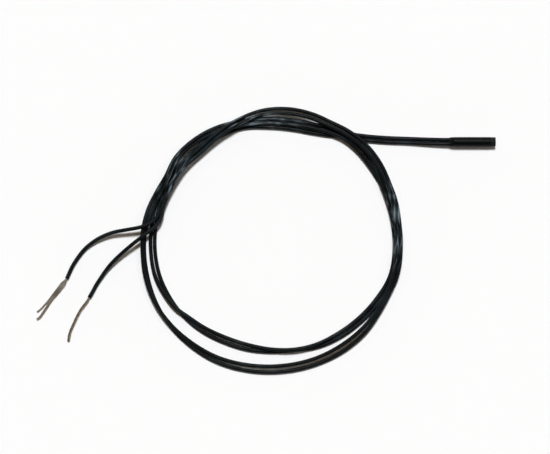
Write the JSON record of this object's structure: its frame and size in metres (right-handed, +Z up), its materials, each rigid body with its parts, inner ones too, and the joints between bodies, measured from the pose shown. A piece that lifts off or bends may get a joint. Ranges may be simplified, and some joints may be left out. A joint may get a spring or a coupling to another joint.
{
  "type": "bead thermistor",
  "caption": "Bead thermistor potted in a black sleeve, on a loosely coiled pair of insulated leads with bare tinned ends",
  "frame": {"origin": "on the table under the middle of the probe, leads and strands left out", "axes": "+X along the probe towards its potted tip, +Y across it towards the side that the picture shows at the top, +Z up from the table"},
  "size_m": [0.131, 0.0761, 0.0043],
  "materials": {
    "sleeve_polyolefin": "satin shrunk tubing",
    "potting_epoxy": "dull cast epoxy",
    "sintered_oxide": "matt sintered ceramic",
    "bead_glass": "clear glass",
    "bead_wire": "drawn platinum alloy wire",
    "solder": "bright solder",
    "joint_tubing": "thin amber tubing",
    "tinned_copper": "tinned copper strand",
    "lead_pvc": "semi-gloss extruded insulation"
  },
  "bodies": {
    "root": {"probe_sleeve": "sleeve_polyolefin", "potting_epoxy": "potting_epoxy", "sensing_bead": "sintered_oxide", "glass_coat": "bead_glass", "bead_wire_a": "bead_wire", "bead_wire_b": "bead_wire", "solder_joint_a": "solder", "solder_joint_b": "solder", "joint_sleeve_a": "joint_tubing", "joint_sleeve_b": "joint_tubing", "conductor_stub_a": "tinned_copper", "conductor_stub_b": "tinned_copper", "lead_a": "lead_pvc", "lead_b": "lead_pvc", "strand_a_1": "tinned_copper", "strand_a_2": "tinned_copper", "strand_a_3": "tinned_copper", "strand_a_4": "tinned_copper", "strand_a_5": "tinned_copper", "strand_a_6": "tinned_copper", "strand_a_7": "tinned_copper", "strand_b_1": "tinned_copper", "strand_b_2": "tinned_copper", "strand_b_3": "tinned_copper", "strand_b_4": "tinned_copper", "strand_b_5": "tinned_copper", "strand_b_6": "tinned_copper", "strand_b_7": "tinned_copper"}
  },
  "joints": []
}
